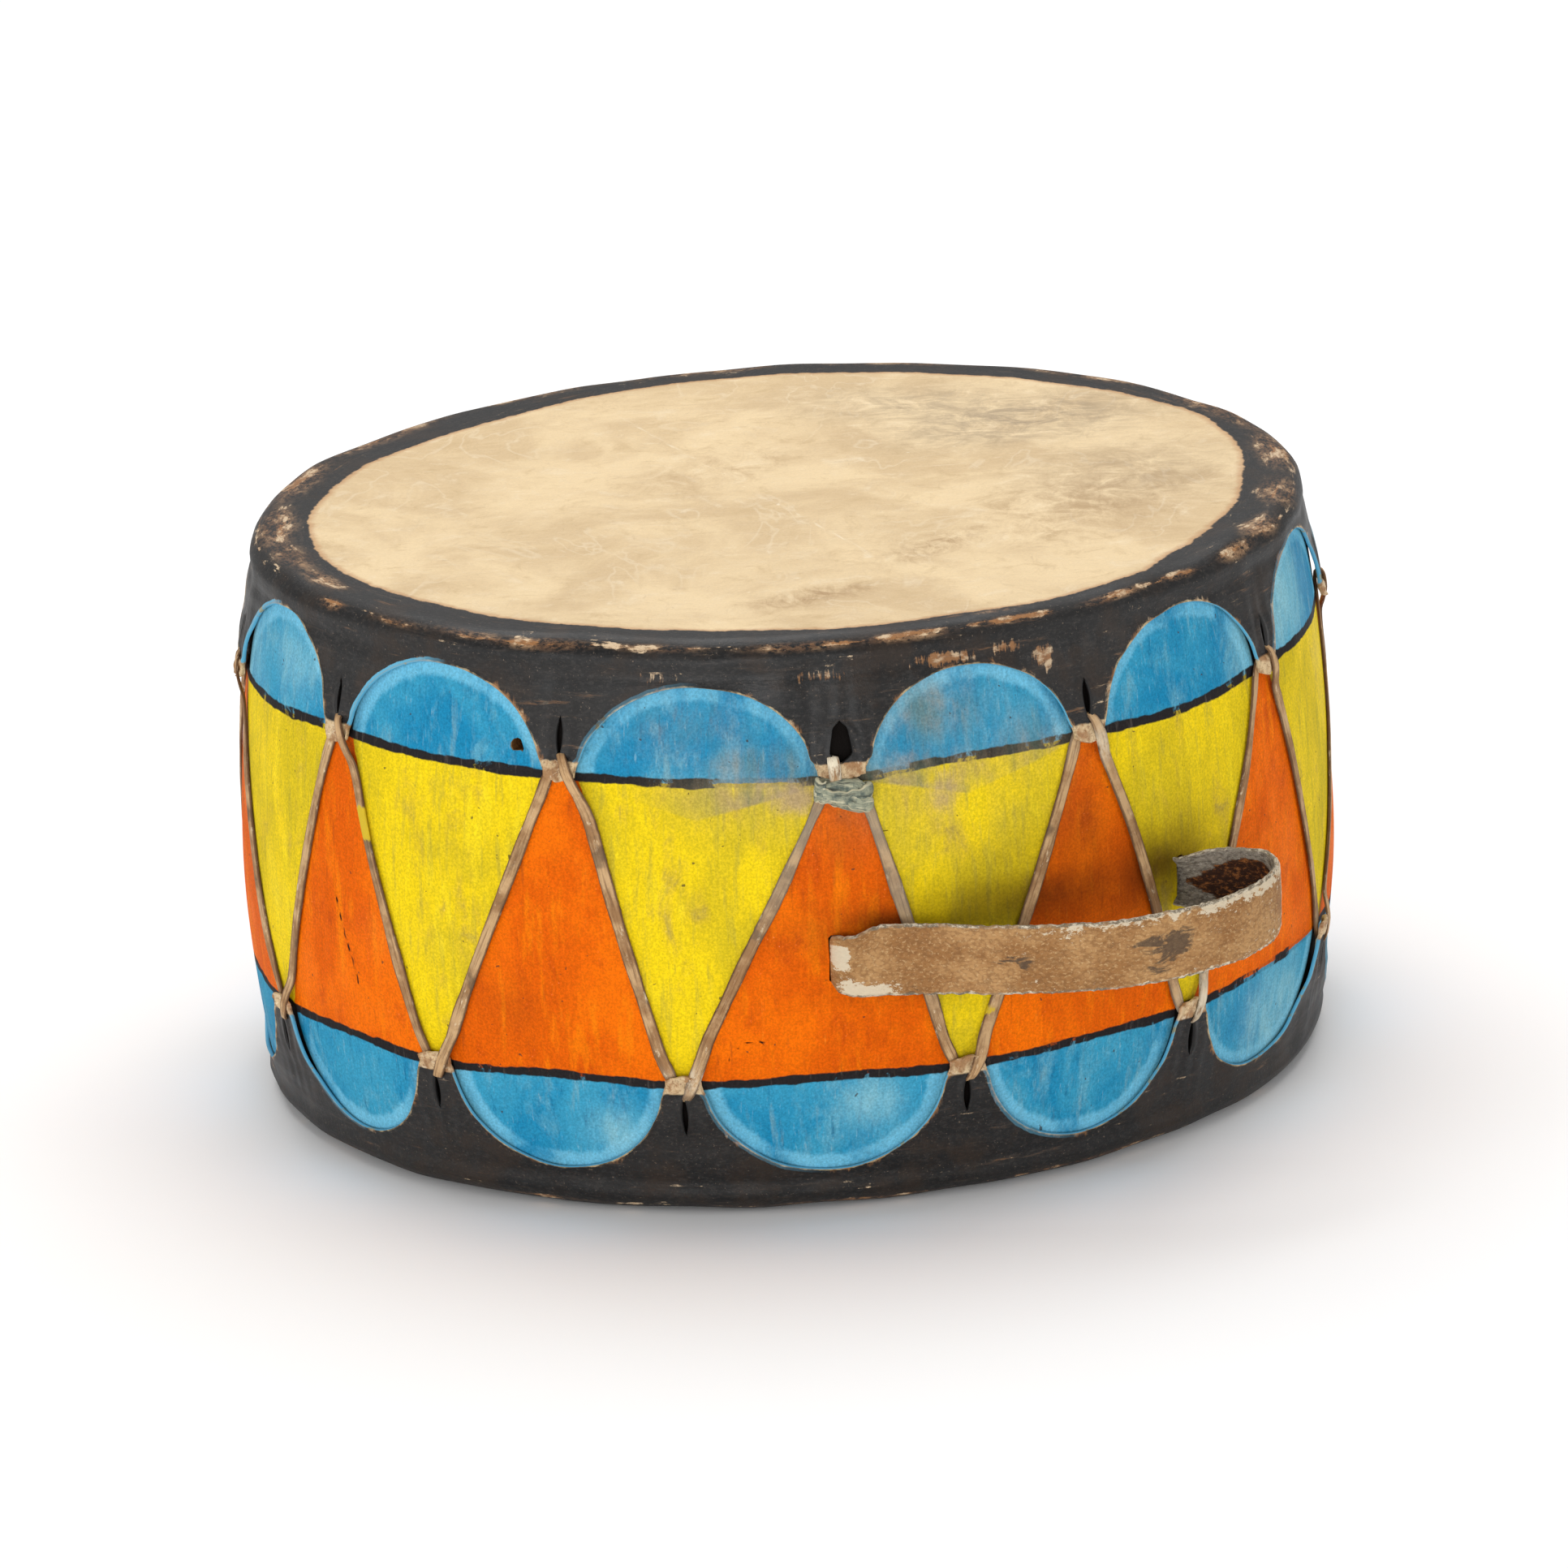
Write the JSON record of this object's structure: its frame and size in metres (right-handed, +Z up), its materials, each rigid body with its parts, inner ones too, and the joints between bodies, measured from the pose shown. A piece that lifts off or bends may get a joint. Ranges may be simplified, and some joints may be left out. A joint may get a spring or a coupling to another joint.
{
  "type": "double-headed log drum",
  "caption": "Oval hollow-log drum with a laced rawhide skin over each end, painted scallops and triangles, and a leather carrying strap.",
  "frame": {"origin": "middle of the bottom skin's flat face, which the drum stands on", "axes": "+Z up along the drum's axis towards the playing skin, -Y towards the splice in the lacing, +X towards the strap's right end"},
  "size_m": [0.372, 0.3572, 0.194],
  "materials": {
    "painted_log": "hand-painted matt: yellow, orange and blue over wood",
    "rawhide_skin": "dry translucent rawhide, its rim and skirt painted matt black",
    "thong": "dry rawhide strip",
    "binding_hide": "grey-green dried rawhide wrap",
    "strap_leather": "worn tan leather with a suede inside",
    "toggle_wood": "plain whittled peg"
  },
  "bodies": {
    "drum": {"log_shell": "painted_log", "top_skin": "rawhide_skin", "bottom_skin": "rawhide_skin", "lacing_thong": "thong", "splice_binding": "binding_hide", "strap_end_left": "strap_leather", "strap_end_right": "strap_leather", "toggle_left": "toggle_wood", "toggle_right": "toggle_wood"},
    "carrying_strap": {"strap_loop": "strap_leather"}
  },
  "joints": [
    {"name": "strap_swing", "type": "hinge", "parent": "drum", "child": "carrying_strap", "pos_m": [0.09163, -0.14825, 0.09038], "axis": [0.8688, 0.4939, 0.0346], "range_deg": [-40, 40]}
  ]
}
